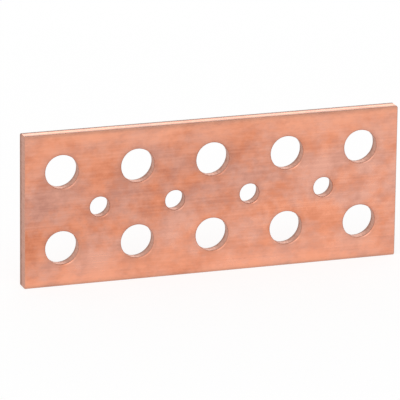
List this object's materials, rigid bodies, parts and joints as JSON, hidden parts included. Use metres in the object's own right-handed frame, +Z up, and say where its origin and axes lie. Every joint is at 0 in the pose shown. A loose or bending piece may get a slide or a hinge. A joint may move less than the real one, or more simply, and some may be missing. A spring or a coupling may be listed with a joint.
{
  "type": "copper busbar",
  "caption": "Flat copper busbar with two rows of bolt holes and a middle row of smaller holes, for joining and tapping heavy electrical conductors.",
  "frame": {"origin": "middle of the long edge that the bar stands on, at half its length and half its thickness", "axes": "+X along the bar, +Y through its thickness away from the viewer of the front face, +Z up across the rows of holes"},
  "size_m": [0.125, 0.005, 0.05],
  "materials": {
    "copper": "drawn copper, satin, lightly tarnished"
  },
  "bodies": {
    "root": {"busbar": "copper"}
  },
  "joints": []
}
